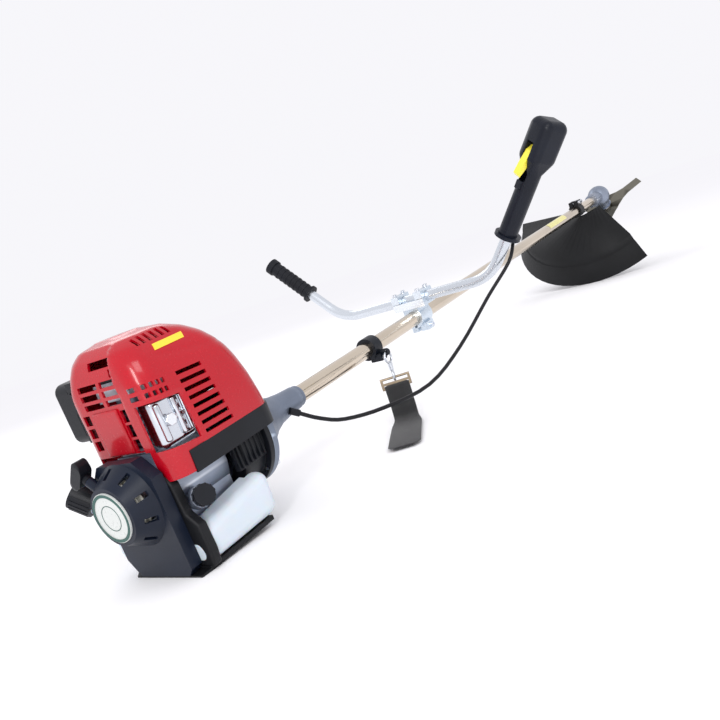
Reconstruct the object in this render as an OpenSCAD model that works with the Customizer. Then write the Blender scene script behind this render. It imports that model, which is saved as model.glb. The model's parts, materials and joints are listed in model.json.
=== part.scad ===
// Brush cutter with a small four-stroke engine, a straight shaft, a two-handed bar,
// a bevel gear head, a three-arm blade and a blade guard.
//
// Every piece is drawn in the machine's own frame: +X runs along the tube towards the
// blade, +Y is the operator's left, +Z is up, and x = 0 is the mouth of the clutch
// housing. attitude() then sets the whole machine down on its stand's heel and on the
// guard's rim, so that z = 0 is the ground and the origin is the middle of the heel.

/* [Tube and handlebar] */
// Outer diameter of the main tube
tube_d = 26; // [24:0.5:28]
// Length of the main tube
tube_len = 1549; // [1450:1:1600]
// Distance from the clutch housing's mouth to the handlebar
bar_x = 376; // [340:1:420]
// Height of the handlebar's middle above the tube's axis
bar_z = 32; // [30:1:36]
// Outer diameter of the handlebar
bar_d = 19; // [18:0.5:20]
// Half width of the handlebar, to the point where it starts to rise
bar_half = 163; // [145:1:165]
// Angle at which the two ends rise
bar_rise = 48.5; // [42:0.5:55]
// Distance from the clutch housing's mouth to the harness clamp
hanger_x = 202; // [180:1:220]

/* [Engine] */
// Lowest point of the engine's stand, below the crank axis
stand_low = 94; // [93:1:96]
// Height of the red cover's top above the crank axis
cover_top = 173; // [173:1:178]
// Radius of the recoil starter's boss where it meets the plate
boss_r = 51; // [50:1:53]
// Wall of the plastic covers
skin = 3; // [2.5:0.25:3]
// Bore of the engine
bore_d = 39; // [38:0.5:39]
// Stroke of the engine
stroke = 30; // [28:1:30]

/* [Gear head and blade] */
// Angle between the blade and the tube
head_tilt = 35; // [32:0.5:36]
// Diameter of the blade
blade_d = 255; // [230:5:255]
// Thickness of the blade
blade_t = 2; // [1.6:0.1:2]
// Turn of the blade's first arm about the output axis
blade_turn = 234.4; // [225:0.1:240]

/* [Guard] */
// Radius of the guard's rim
rim_r = 271; // [265:1:285]
// Radius of the guard's ridge, where the skirt starts
ridge_r = 228; // [220:1:235]
// Depth of the rim below the blade
rim_drop = 36; // [33:1:42]
// Height of the ridge above the blade
ridge_rise = 35; // [32:1:40]

/* [Hidden] */
$fn = 48;

// Clearances
run = 0.05;
gap = 0.3;

// Places along the tube
tube_r = tube_d / 2;
tube_wall = 1.5;
tube_start = -44;
tube_end = tube_start + tube_len;
gear_x = tube_end + 63;
shaft_r = 4;
journal_r = 6;
drum_end = -50;
pinion_joint = tube_end - 5;

// Places along the crank axis
engine_back = -338;
plate_back = -312;
plate_front = -296;
case_back = -294;
case_front = -200;
fan_back = -186;
engine_front = -139;
cylinder_x = -245;
crank_r = 7.5;
bearing_r = 13;
drum_bearing_r = 17;

// Blade frame
hub_drop = 47.5;
arbor_r = 12.7;
output_r = 5;

// Attitude on the ground
blade_x = gear_x + hub_drop * sin(head_tilt);
blade_z = -hub_drop * cos(head_tilt);
rim_x = blade_x - rim_r * cos(head_tilt) + rim_drop * sin(head_tilt);
rim_z = blade_z - rim_r * sin(head_tilt) - rim_drop * cos(head_tilt);
heel_x = plate_back + 10;
heel_z = -stand_low;
heel_half = 10;
rest_tilt = atan((heel_z - rim_z) / (rim_x - heel_x));

// Row-frame place of a machine-frame point
function on_ground(p) = [
  (p[0] - heel_x) * cos(rest_tilt) - (p[2] - heel_z) * sin(rest_tilt),
  p[1],
  (p[0] - heel_x) * sin(rest_tilt) + (p[2] - heel_z) * cos(rest_tilt)
];

module attitude() rotate([0, -rest_tilt, 0]) translate([-heel_x, 0, -heel_z]) children();
module head() translate([gear_x, 0, 0]) rotate([0, 180 - head_tilt, 0]) children();

// Shapes that repeat
module block(a, b) translate(a) cube(b - a);
module rod_x(x0, x1, r) translate([x0, 0, 0]) rotate([0, 90, 0]) cylinder(h = x1 - x0, r = r);
module rod_y(y0, y1, r) translate([0, y0, 0]) rotate([-90, 0, 0]) cylinder(h = y1 - y0, r = r);
module rod_z(z0, z1, r) translate([0, 0, z0]) cylinder(h = z1 - z0, r = r);
module sleeve_x(x0, x1, r_out, r_in) {
  difference() {
    rod_x(x0, x1, r_out);
    rod_x(x0 - 1, x1 + 1, r_in);
  }
}
module sleeve_z(z0, z1, r_out, r_in) {
  difference() {
    rod_z(z0, z1, r_out);
    rod_z(z0 - 1, z1 + 1, r_in);
  }
}
module ball_hull(centres, r) {
  hull() for (c = centres) translate([c[0], c[1], c[2]]) sphere(r = c[3] - r, $fn = 32);
}

// Curve through a list of points, and a round cord swept along it
function blend_point(a, b, c, d, t) = 0.5 * (
  2 * b + (c - a) * t + (2 * a - 5 * b + 4 * c - d) * t * t
  + (3 * b - a - 3 * c + d) * t * t * t);
function curve(p, steps) = [
  for (i = [0 : len(p) - 2]) for (s = [0 : steps - 1])
    blend_point(p[max(i - 1, 0)], p[i], p[i + 1], p[min(i + 2, len(p) - 1)], s / steps),
  p[len(p) - 1]
];
function unit(v) = v / norm(v);
function heading(p, i) = unit(p[min(i + 1, len(p) - 1)] - p[max(i - 1, 0)]);
// across is a direction that the route never runs along
module cord(p, r, sides, across = [0, 1, 0]) {
  rings = [
    for (i = [0 : len(p) - 1])
      let (t = heading(p, i), u = unit(cross(t, across)), v = cross(t, u))
        for (k = [0 : sides - 1]) p[i] + r * (cos(360 * k / sides) * u + sin(360 * k / sides) * v)
  ];
  last = len(p) - 1;
  faces = concat(
    [[for (k = [0 : sides - 1]) k]],
    [for (i = [0 : last - 1]) for (k = [0 : sides - 1])
      [i * sides + k, (i + 1) * sides + k, (i + 1) * sides + (k + 1) % sides, i * sides + (k + 1) % sides]],
    [[for (k = [sides - 1 : -1 : 0]) last * sides + k]]);
  polyhedron(rings, faces, convexity = 6);
}

// ---------------------------------------------------------------- engine

// Flat stand under the tank, with a level heel and raised edges
stand_front = -186;
stand_half = 66;
stand_plate = 5;
module engine_stand() attitude() color([0.08, 0.08, 0.09]) {
  low = heel_z - heel_half * tan(rest_tilt);
  difference() {
    block([plate_back + 1, -stand_half, low], [stand_front, stand_half, heel_z + stand_plate]);
    // back left corner, cut away beside the starter's plate
    translate([plate_back, plate_half - 1, heel_z]) rotate([0, 0, 45]) block([-40, -2, -20], [40, 40, 60]);
    // step that the starter's plate stands in
    block([plate_back - 1, -stand_half - 1, plate_foot - gap], [plate_front + gap, stand_half + 1, 0]);
    // everything under the ground line, which leaves the heel level
    translate([heel_x, 0, heel_z]) rotate([0, rest_tilt, 0])
      block([-40, -100, -30], [heel_half, 100, 0]);
  }
}

// Milk-white fuel tank: two side lobes, a saddle for the crankcase and a filler neck
tank_wall = 3;
neck_at = [-282, 58, -29];
neck_lean = 48.7;
neck_turn = 116.6;
neck_r = 13;
neck_len = 76;
cap_len = 30;
tank_shape = [
  [-284, -58, -74, 14], [-186, -58, -74, 14],
  [-284, 80, -68, 14], [-186, 62, -74, 14],
  [-280, -60, -58, 14], [-280, 86, -36, 14],
  [-186, -60, -46, 14], [-186, 62, -46, 14]
];
module tank_body(inset) {
  difference() {
    ball_hull(tank_shape, inset);
    block([-330, -48 - inset, -45 - inset], [-150, 48 + inset, 10]);
    rod_x(-196 - inset, -150, 65 + inset);
    rod_x(-330, -150, case_r + 1 + inset);
    block([-330, -200, -200], [plate_front + gap + inset, 200, 200]);
    at_oil() rod_z(-6, oil_boss + 20, 14 + inset);
  }
}
module at_neck() translate(neck_at) rotate([0, neck_lean, neck_turn]) children();
module fuel_tank() attitude() color([0.9, 0.95, 0.95]) {
  difference() {
    union() {
      tank_body(0);
      at_neck() rod_z(-8, neck_len - 6, neck_r);
    }
    tank_body(tank_wall);
    at_neck() rod_z(-6, neck_len, neck_r - tank_wall);
  }
}

// Knurled screw cap of the tank
module fuel_cap() attitude() color([0.06, 0.06, 0.07]) at_neck() {
  cap_r = 18;
  ribs = 20;
  difference() {
    union() {
      rod_z(neck_len - cap_len, neck_len, cap_r);
      for (k = [0 : ribs - 1]) rotate([0, 0, k * 360 / ribs])
        block([cap_r - 1, -1, neck_len - cap_len + 2], [cap_r + 0.8, 1, neck_len - 3]);
    }
    rod_z(0, neck_len - 6, neck_r + run);
  }
}

// Cast crankcase with its bearing seats, the cylinder's deck and the oil filler boss
case_r = 46;
case_wall = 8;
deck_z = 46;
oil_at = [-262, -47, -22];
oil_lean = 75;
oil_turn = -112;
oil_boss = 26;
module at_oil() translate(oil_at) rotate([0, oil_lean, oil_turn]) children();
module crankcase() attitude() color([0.72, 0.76, 0.82]) {
  difference() {
    union() {
      rod_x(case_back, case_front, case_r);
      rod_x(case_front - 1, fan_back, 28);
      block([case_back + 4, -40, -42], [case_front, 40, 0]);
      block([cylinder_x - 36, -36, 0], [cylinder_x + 36, 36, deck_z]);
      at_oil() rod_z(0, oil_boss, 13);
    }
    rod_x(case_back + case_wall, case_front - case_wall, case_r - case_wall);
    rod_x(case_back - 1, fan_back + 1, bearing_r + run);
    translate([cylinder_x, 0, 0]) rod_z(30, deck_z + 1, bore_d / 2 + 4.5);
    at_oil() rod_z(-10, oil_boss + 1, 9);
  }
}

// Oil filler cap with finger ribs
module oil_filler_cap() attitude() color([0.06, 0.06, 0.07]) at_oil() {
  ribs = 12;
  rod_z(oil_boss + gap, oil_boss + 13, 12);
  rod_z(12, oil_boss + 1, 9 - run);
  for (k = [0 : ribs - 1]) rotate([0, 0, k * 360 / ribs])
    block([11.2, -1.1, oil_boss + 2], [12.8, 1.1, oil_boss + 12]);
}

// Crankshaft: two webs, both journals and the starter cup on its back end
web_t = 10;
web_gap = 14.4;
throw_r = stroke / 2;
module crankshaft() attitude() color([0.6, 0.6, 0.62]) {
  back_web = cylinder_x - web_gap / 2;
  front_web = cylinder_x + web_gap / 2;
  rod_x(plate_front - 4, back_web - web_t + 0.5, crank_r);
  rod_x(back_web - web_t, back_web, 30);
  rod_x(front_web, front_web + web_t, 30);
  rod_x(front_web + web_t - 0.5, -125, crank_r);
  difference() {
    rod_x(plate_back + 4, plate_front - 2, 26);
    rod_x(plate_back + 3, plate_front - 6, 22);
  }
}

// Connecting rod with its two pins, stored at top dead centre
rod_len = 72;
module connecting_rod() attitude() color([0.62, 0.62, 0.64]) translate([cylinder_x, 0, 0]) {
  pin_half = web_gap / 2 - 0.2;
  translate([0, 0, throw_r]) rod_x(-pin_half, pin_half, 9);
  block([-4, -5, throw_r + 5], [4, 5, throw_r + rod_len - 4]);
  translate([0, 0, throw_r + rod_len]) rod_x(-bore_d / 2 + 1, bore_d / 2 - 1, 4.5);
  translate([0, 0, throw_r + rod_len]) rod_x(-5, 5, 7.5);
}

// Piston with three ring grooves
module piston() attitude() color([0.75, 0.75, 0.77]) translate([cylinder_x, 0, 0]) {
  pin_z = throw_r + rod_len;
  difference() {
    rod_z(pin_z - 12, pin_z + 13, bore_d / 2 - run);
    rod_z(pin_z - 13, pin_z + 9, bore_d / 2 - 3.5);
    translate([0, 0, pin_z]) rod_x(-bore_d, bore_d, 4.5 + run);
    for (k = [0 : 1]) difference() {
      rod_z(pin_z + 5 + 3 * k, pin_z + 6.2 + 3 * k, bore_d / 2 + 1);
      rod_z(pin_z + 4, pin_z + 12, bore_d / 2 - 1.5);
    }
  }
}

// Finned cylinder with its head and ports in one casting
head_z = 112;
head_h = 22;
port_y = 38;
port_z = 82;
module barrel_fins() {
  fins = 6;
  for (k = [0 : fins - 1])
    translate([0, 0, deck_z + 10 + 9 * k]) block([-33, -33, 0], [33, 33, 3]);
}
module engine_cylinder() attitude() color([0.7, 0.72, 0.75]) translate([cylinder_x, 0, 0]) {
  difference() {
    union() {
      block([-31, -31, deck_z], [31, 31, deck_z + 6]);
      rod_z(deck_z, head_z + 1, 25);
      barrel_fins();
      block([-30, -30, head_z], [30, 30, head_z + head_h]);
      block([-12, -port_y, port_z - 12], [12, port_y, port_z + 12]);
    }
    rod_z(deck_z - 1, head_z - 8, bore_d / 2);
    translate([0, 0, port_z]) for (s = [-1, 1]) scale([1, s, 1]) rod_y(25, port_y + 1, 7);
  }
}

// Cover over the overhead valves
module rocker_cover() attitude() color([0.12, 0.12, 0.13]) translate([cylinder_x, 0, head_z + head_h]) {
  block([-28, -26, 0], [28, 26, 9]);
  block([-22, -20, 9], [22, 20, 14]);
}

// Spark plug, screwed into the head's front face
plug_at = [cylinder_x + 30, 10, head_z + 10];
module spark_plug() attitude() color([0.9, 0.9, 0.88]) translate(plug_at) {
  rotate([0, 90, 0]) cylinder(h = 7, r = 9, $fn = 6);
  rod_x(6.5, 10, 7);
  rod_x(9.5, 24, 4.5);
}

// Rubber cap on the spark plug
module plug_cap() attitude() color([0.05, 0.05, 0.06]) translate(plug_at) {
  difference() {
    union() {
      rod_x(12, 30, 8);
      translate([26, 0, 0]) rod_z(-22, 0, 5);
    }
    rod_x(11, 24.2, 4.5 + run);
  }
}

// Pressed muffler on the right side, with ribs and its clamp bolt
module muffler() attitude() color([0.8, 0.8, 0.8]) {
  back = cylinder_x - 32;
  front = cylinder_x + 30;
  difference() {
    union() {
      block([back, -66, 50], [front, -port_y, 106]);
      for (k = [0 : 3]) block([back + 6 + 14 * k, -69, 54], [back + 12 + 14 * k, -66, 102]);
      block([back + 3, -68, 74], [front - 3, -66, 82]);
      translate([cylinder_x - 14, 0, 78]) scale([1, -1, 1]) rod_y(66, 72, 6);
    }
    translate([cylinder_x, 0, port_z]) scale([1, -1, 1]) rod_y(port_y - 1, port_y + 24, 7);
    translate([front - 10, 0, 60]) scale([1, -1, 1]) rod_y(50, 75, 4);
  }
}

// Diaphragm carburettor on the left side
carb_pivot = [cylinder_x, 54, 98];
module carburettor() attitude() color([0.74, 0.75, 0.77]) {
  difference() {
    union() {
      block([cylinder_x - 14, port_y, 66], [cylinder_x + 14, cleaner_right, 98]);
      translate([cylinder_x, 54, 0]) rod_z(62, 67, 11);
    }
    translate([cylinder_x, 0, port_z]) rod_y(port_y - 1, cleaner_right + 1, 7);
    translate([cylinder_x, 54, 0]) rod_z(61, 72, 9);
    translate(carb_pivot) rod_z(-6, 1, 2 + run);
  }
}

// Throttle lever on top of the carburettor
module carb_lever() attitude() color([0.7, 0.68, 0.6]) translate(carb_pivot) {
  rod_z(-5, 3, 2);
  rod_z(gap, 3, 4);
  block([-2, 0, gap], [2, 10, 2.3]);
}

// Rubber primer bulb under the carburettor
module primer_bulb() attitude() color([0.75, 0.75, 0.7]) translate([cylinder_x, 54, 0]) {
  rod_z(59, 64.5, 7.5);
  translate([0, 0, 59]) sphere(r = 7.5);
}

// Air cleaner: case, foam element and cover on the left side
cleaner_back = -270;
cleaner_front = -194;
cleaner_low = 68;
cleaner_top = 146;
cleaner_right = 76;
cleaner_split = 92;
cleaner_left = 126;
choke_at = [cleaner_back, 84, 128];
module air_cleaner_case() attitude() color([0.07, 0.07, 0.08]) {
  difference() {
    block([cleaner_back, cleaner_right, cleaner_low], [cleaner_front, cleaner_split, cleaner_top]);
    block([cleaner_back + skin, cleaner_right + skin, cleaner_low + skin],
      [cleaner_front - skin, cleaner_split + 1, cleaner_top - skin]);
    translate([cylinder_x, 0, port_z]) rod_y(cleaner_right - 1, cleaner_right + 4, 7);
    translate(choke_at) rod_x(-1, skin + 1, 2.5 + run);
  }
}
module air_filter() attitude() color([0.35, 0.35, 0.33]) {
  block([cleaner_back + 6, 82, cleaner_low + 6], [cleaner_front - 6, 108, cleaner_top - 6]);
}
module air_cleaner_cover() attitude() color([0.06, 0.06, 0.07]) {
  corner = 12;
  difference() {
    hull() for (x = [cleaner_back + corner, cleaner_front - corner])
      for (z = [cleaner_low + corner, cleaner_top - corner]) translate([x, 0, z]) {
        rod_y(cleaner_split, cleaner_left - 8, corner);
        rod_y(cleaner_split, cleaner_left, corner - 6);
      }
    block([cleaner_back + 5, cleaner_split - 1, cleaner_low + 5],
      [cleaner_front - 5, cleaner_left - 14, cleaner_top - 5]);
  }
}

// Choke lever on the air cleaner's back
module choke_lever() attitude() color([0.07, 0.07, 0.08]) translate(choke_at) {
  rod_x(-3, skin, 2.5);
  rod_x(-4, -gap, 6);
  block([-4, -3, -20], [-1.2, 3, 0]);
}

// Red top cover: a rounded shell, open below, with the muffler window and its slots
cover_back = -293;
cover_front = -121;
cover_right = -80;
cover_left = 75;
cover_low = 38;
function ring_of(x0, x1, y0, y1, z, r) = [
  for (x = [x0 + r, x1 - r]) for (y = [y0 + r, y1 - r]) [x, y, z, r]];
cover_tail = -270;
cover_tail_low = 18;
cover_shape = concat(
  ring_of(cover_back, cover_front, cover_right, cover_left, cover_tail_low + 4, 28),
  ring_of(cover_back + 1, cover_front - 8, cover_right + 5, cover_left - 4, 112, 26),
  ring_of(cover_back + 10, cover_front - 28, cover_right + 18, cover_left - 16, cover_top - 29, 26),
  ring_of(cover_back + 44, cover_front - 38, cover_right + 34, cover_left - 36, cover_top - 22, 22));
module cover_slots() {
  // muffler window in the right side
  block([-300, -90, 46], [-250, -54, 100]);
  // two rows of small louvers over it
  for (z = [106, 116]) for (k = [0 : 5])
    block([-285 + 6 * k, -90, z + 1], [-281.5 + 6 * k, -50, z + 7]);
  // slanted louvers in front of it
  for (k = [0 : 7]) translate([-241, -90, 42 + 10 * k]) rotate([0, -6, 0])
    block([0, 0, 0], [46, 40, 5]);
  // openings of the back grille
  for (k = [0 : 6]) block([-300, -46, 58 + 13 * k], [-278, -33, 67 + 13 * k]);
  for (k = [0 : 6]) block([-300, 34, 60 + 11 * k], [-278, 58, 65 + 11 * k]);
  for (k = [0 : 2]) block([-300, -18, 116 + 8 * k], [-278, 26, 120 + 8 * k]);
  block([-300, -12, 142], [-262, 30, 155]);
  // short slots in the top
  for (k = [0 : 4]) block([-256 + 13 * k, -34, 150], [-251 + 13 * k, 0, 190]);
  // way for the intake in the left side
  block([-268, 50, 56], [-222, 80, 108]);
}
module top_cover() attitude() color([0.86, 0.03, 0.12]) {
  difference() {
    ball_hull(cover_shape, 0);
    ball_hull(cover_shape, skin);
    block([-400, -200, -50], [0, 200, cover_tail_low]);
    block([cover_tail, -200, -50], [0, 200, cover_low]);
    rod_x(-150, 0, flange_r + 1.5);
    block([-400, -plate_half - 1, 0], [cover_tail - 10, plate_half + 1, plate_top + 1]);
    cover_slots();
  }
  // blank panel of the back grille
  block([cover_back - 1.5, -22, plate_top + 6], [cover_back + 2, 26, 108]);
}

// Black band that closes the cover's lower edge
module lower_shroud() attitude() color([0.06, 0.06, 0.07]) {
  low = 12;
  corner = 28;
  difference() {
    hull() for (x = [cover_back + corner, cover_front - corner])
      for (y = [cover_right + corner, cover_left - corner]) translate([x, y, 0]) rod_z(low, cover_low, corner);
    hull() for (x = [cover_back + corner, cover_front - corner])
      for (y = [cover_right + corner, cover_left - corner]) translate([x, y, 0])
        rod_z(low - 1, cover_low + 1, corner - skin);
    rod_x(-192, 0, flange_r + 1.5);
    block([cover_back - 1, -100, low - 1], [cover_tail, 100, cover_low + 1]);
  }
}

// Screw circle shared by the fan cover and the clutch housing
flange_r = 68;
screw_circle = 63.5;
screw_r = 2.5;
screw_angles = [45, 135, 225, 315];
module flange_holes(x0, x1) {
  for (a = screw_angles) rotate([a, 0, 0]) translate([0, screw_circle, 0]) rod_x(x0, x1, screw_r + run);
}

// Black cover around the cooling fan
module fan_cover() attitude() color([0.07, 0.07, 0.08]) {
  difference() {
    union() {
      rod_x(fan_back, engine_front, 59);
      rod_x(engine_front - 8, engine_front, flange_r);
    }
    rod_x(fan_back + skin, engine_front + 1, 56);
    rod_x(fan_back - 1, engine_front, 40);
    flange_holes(engine_front - 9, engine_front + 1);
  }
}

// Flywheel with its cooling fan
module flywheel() attitude() color([0.6, 0.62, 0.64]) {
  blades = 14;
  difference() {
    union() {
      rod_x(-179, -173, 53);
      rod_x(-180, -147, 18);
      for (k = [0 : blades - 1]) rotate([k * 360 / blades, 0, 0]) block([-174, 30, -1.2], [-156, 52, 1.2]);
    }
    rod_x(-181, -146, crank_r + run);
  }
}

// Centrifugal clutch: two shoes, and the drum that they grip
drum_in = 38;
module clutch_shoes() attitude() color([0.55, 0.5, 0.42]) {
  for (s = [0, 180]) rotate([s, 0, 0]) difference() {
    sleeve_x(-146.8, -130, drum_in - 1.5, crank_r + 6);
    block([-150, -5 - drum_in, -drum_in - 5], [-125, drum_in + 5, 4]);
  }
}
module clutch_drum() attitude() color([0.5, 0.5, 0.52]) {
  difference() {
    rod_x(-146, -118, drum_in + 3);
    rod_x(-147, -121, drum_in);
  }
  rod_x(-119, drum_end, journal_r);
}

// Cast clutch housing: a cone from the fan cover down to the tube's socket
socket_r = tube_r + 2.8;
housing_outline = [
  [engine_front, flange_r], [engine_front + 9, flange_r], [engine_front + 9, 57],
  [-116, 53], [-98, 40], [-76, 28], [-56, 21.5], [-34, 18.5], [-8, 17], [-6, socket_r], [0, socket_r]
];
module clutch_housing() attitude() color([0.42, 0.48, 0.58]) {
  seat_back = -92;
  seat_front = -74;
  difference() {
    rotate([0, 90, 0]) rotate_extrude()
      polygon(concat([[0, engine_front]], [for (p = housing_outline) [p[1], p[0]]], [[0, 0]]));
    rod_x(engine_front - 1, -112, drum_in + 10);
    rod_x(-113, seat_back + 0.5, 12);
    rod_x(seat_back, seat_front, drum_bearing_r + run);
    rod_x(seat_front - 0.5, tube_start + 0.5, 10);
    rod_x(tube_start, 1, tube_r + run);
    flange_holes(engine_front - 1, engine_front + 10);
    at_boot() rod_z(-16.2, 10, boot_r + 0.2);
  }
}

// ------------------------------------------------------- recoil starter

plate_half = 55;
plate_top = 50;
plate_foot = 3 - stand_low;
module plate_outline(inset) {
  cut = 22;
  w = plate_half - inset;
  t = plate_top - inset;
  b = plate_foot + inset;
  polygon([[-w, b + 8], [-w + 8, b], [w - 14, b], [w, b + cut], [w, t - cut], [w - cut, t], [cut - w, t], [-w, t - cut]]);
}
// The outline's first axis is the machine's y axis
module plate_slab(x0, x1, inset) translate([x0, 0, 0]) rotate([90, 0, 90])
  linear_extrude(x1 - x0) plate_outline(inset);

boss_face_r = 35;
pulley_bore = 6;
guide_dir = 41;
rope_r = 1.75;
handle_reach = 65;
module at_rope() translate([-320, 0, 0]) rotate([guide_dir, 0, 0]) children();
module recoil_housing() attitude() color([0.07, 0.09, 0.13]) {
  flutes = 10;
  difference() {
    union() {
      difference() {
        plate_slab(plate_back, plate_front, 0);
        plate_slab(plate_back + skin, plate_front + 1, 4);
      }
      translate([engine_back, 0, 0]) rotate([0, 90, 0])
        cylinder(h = plate_back - engine_back, r1 = boss_face_r, r2 = boss_r);
      at_rope() rod_y(44, 58, 6);
    }
    translate([engine_back + 4, 0, 0]) rotate([0, 90, 0])
      cylinder(h = plate_back - engine_back - 4, r1 = boss_face_r - 2, r2 = boss_r - 4);
    rod_x(plate_back - 1, plate_front + 1, 44);
    for (k = [0 : flutes - 1]) rotate([18 + k * 360 / flutes, 0, 0])
      block([engine_back + 9, boss_face_r, -3], [plate_back - 4, 60, 3]);
    at_rope() rod_y(40, 70, rope_r + 0.6);
  }
  rod_x(engine_back + 1, plate_back, pulley_bore);
}
module recoil_pulley() attitude() color([0.8, 0.8, 0.75]) {
  difference() {
    union() {
      rod_x(-326, -323, 36);
      rod_x(-324, -316, 32);
      rod_x(-318, -315, 36);
    }
    rod_x(-331, -312, pulley_bore + run);
  }
}
module centre_badge() attitude() color([0.93, 0.94, 0.92]) {
  rod_x(engine_back - 2, engine_back, 30);
  sleeve_x(engine_back - 2.6, engine_back - 2, 29, 26);
}
module starter_handle() attitude() color([0.05, 0.05, 0.06]) at_rope() {
  difference() {
    union() {
      rod_y(58.5, handle_reach + 2, 6);
      hull() {
        translate([0, handle_reach + 7, 8]) rod_x(-8, 8, 8);
        translate([0, handle_reach + 9, 13]) rod_x(-7, 7, 7);
      }
      hull() {
        translate([0, handle_reach + 7, -8]) rod_x(-8, 8, 8);
        translate([0, handle_reach + 7, 8]) rod_x(-8, 8, 8);
      }
      hull() {
        translate([0, handle_reach + 7, -8]) rod_x(-8, 8, 8);
        translate([0, handle_reach + 9, -13]) rod_x(-7, 7, 7);
      }
    }
    rod_y(50, handle_reach + 4, rope_r + run);
  }
}
module starter_rope() attitude() color([0.85, 0.85, 0.82]) at_rope() rod_y(46, handle_reach + 3, rope_r);

// ---------------------------------------------------------------- tube

module main_tube() attitude() color([0.78, 0.74, 0.68]) sleeve_x(tube_start, tube_end, tube_r, tube_r - tube_wall);
module drive_shaft() attitude() color([0.5, 0.5, 0.52]) rod_x(drum_end, pinion_joint, shaft_r);
module shaft_bushings() attitude() color([0.15, 0.15, 0.16]) {
  bushings = 5;
  pitch = (tube_end - tube_start) / bushings;
  for (k = [0 : bushings - 1]) translate([tube_start + (k + 0.5) * pitch, 0, 0])
    sleeve_x(-10, 10, tube_r - tube_wall - run, shaft_r + run);
}
// Ball bearings of the crank, the drum, the pinion and the output shaft
module shaft_bearings() attitude() color([0.7, 0.7, 0.72]) {
  sleeve_x(case_back, case_back + case_wall, bearing_r, crank_r + run);
  sleeve_x(fan_back - 12, fan_back, bearing_r, crank_r + run);
  sleeve_x(-91, -75, drum_bearing_r, journal_r + run);
  sleeve_x(tube_end + 6, tube_end + 16, bearing_r, output_r + run);
  head() sleeve_z(20, 36, bearing_r, output_r + run);
}

// One size of socket screw: in the clutch housing, the handlebar bracket, the harness
// clamp and the guard bracket
module screw(reach) {
  rod_z(-reach, 0.5, screw_r);
  difference() {
    rod_z(0, 5, 4.4);
    translate([0, 0, 2.5]) cylinder(h = 3, r = 2.3, $fn = 6);
  }
}
cap_screws = [for (y = [-25, 25]) for (x = [-15, 15]) [bar_x + x, y]];
module clamp_screws() attitude() color([0.75, 0.78, 0.82]) {
  for (a = screw_angles) rotate([a, 0, 0]) translate([engine_front + 9, screw_circle, 0])
    rotate([0, 90, 0]) screw(16);
  for (p = cap_screws) translate([p[0], p[1], bar_z + bar_cap_h]) screw(22);
  translate([bar_x, -20, -tube_r - 8]) rotate([90, 0, 0]) screw(36);
  translate([hanger_x, -tube_r - 4, -tube_r - 5]) rotate([90, 0, 0]) screw(15);
  for (x = [-9, 9]) translate([bracket_x + x, -14, tube_r + 9]) rotate([90, 0, 0]) screw(24);
}

// ------------------------------------------------------- harness hanger

// Plastic clamp with a pinch screw below and an eye at its right
eye_y = -29;
eye_z = -13;
hanger_half = 11;
module hanger_clamp() attitude() color([0.06, 0.07, 0.1]) translate([hanger_x, 0, 0]) {
  difference() {
    union() {
      rod_x(-hanger_half, hanger_half, tube_r + 6);
      block([-8, -tube_r - 9, -tube_r - 11], [8, 0, -tube_r + 1]);
      block([-3, eye_y, eye_z - 6], [3, 0, eye_z + 6]);
      translate([0, eye_y, eye_z]) rod_x(-3, 3, 6);
    }
    rod_x(-hanger_half - 1, hanger_half + 1, tube_r + run);
    translate([0, eye_y, eye_z]) rod_x(-10, 10, 3.4);
    block([-20, -2, -40], [20, -0.5, 0]);
    translate([0, 0, -tube_r - 5]) rod_y(-40, 4, screw_r + run);
    // counterbore for the screw's head
    translate([0, 0, -tube_r - 5]) rod_y(-tube_r - 9.01, -tube_r - 4, 4.7);
    translate([-9, -tube_r - 10, eye_z + 0]) block([0, -20, -14], [5.8, -0.5, -6.2]);
    block([-9, eye_y - 7, eye_z - 20], [9, -tube_r - 9, eye_z - 6.01]);
  }
}

// The hook, its buckle and the webbing hang straight down from the eye
eye = on_ground([hanger_x, eye_y, eye_z]);
wire_r = 2;
ring_r = 9;
hang_turn = -60;
loop_z = -39;
bar_drop = loop_z - 4.2;
strap_z = bar_drop - 16;
module hanging() translate(eye) children();
module turned() rotate([0, 0, hang_turn]) children();
module harness_hook() color([0.82, 0.84, 0.86]) hanging() {
  translate([0, 0, -ring_r]) rotate([90, 0, 0]) rotate_extrude() translate([ring_r, 0]) circle(r = wire_r);
  rod_z(loop_z + 7, -2 * ring_r - wire_r + 0.8, 4.5);
  turned() translate([0, 0, loop_z]) rotate([0, 90, 0]) rotate([0, 0, 0])
    rotate_extrude() translate([8.5, 0]) circle(r = wire_r);
}
// The webbing's width runs along the turned frame's first axis
buckle_half = 25;
module strap_buckle() color([0.55, 0.48, 0.4]) hanging() turned() {
  rod_bar = 2;
  translate([0, 0, bar_drop]) rod_x(-buckle_half, buckle_half, rod_bar);
  translate([0, 0, strap_z]) rod_x(-buckle_half, buckle_half, rod_bar);
  for (s = [-1, 1]) translate([s * (buckle_half - 2), 0, 0]) block([-2, -2, strap_z], [2, 2, bar_drop]);
  block([-buckle_half, -2, strap_z + 5.8], [buckle_half, 2, loop_z - 8.8 - wire_r]);
}

// Webbing: a loop on the buckle, a drop to the ground and a padded tail lying on it
module harness_strap() color([0.05, 0.05, 0.06]) hanging() turned() {
  floor_z = -eye[2];
  web = 3;
  pad = 7;
  tail = 170;
  half = 21;
  translate([-half, 0, strap_z]) rotate([90, 0, 90]) linear_extrude(2 * half) difference() {
    union() {
      circle(r = 5.5);
      polygon([[-web, -3], [web, -3], [web - 8, floor_z - strap_z + pad], [-web - 12, floor_z - strap_z + pad]]);
    }
    circle(r = 2 + gap);
  }
  block([-half - 5, -tail - 5, floor_z + 0.2], [half + 5, -4, floor_z + pad + 0.2]);
}

// ---------------------------------------------------------- handlebar

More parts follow.
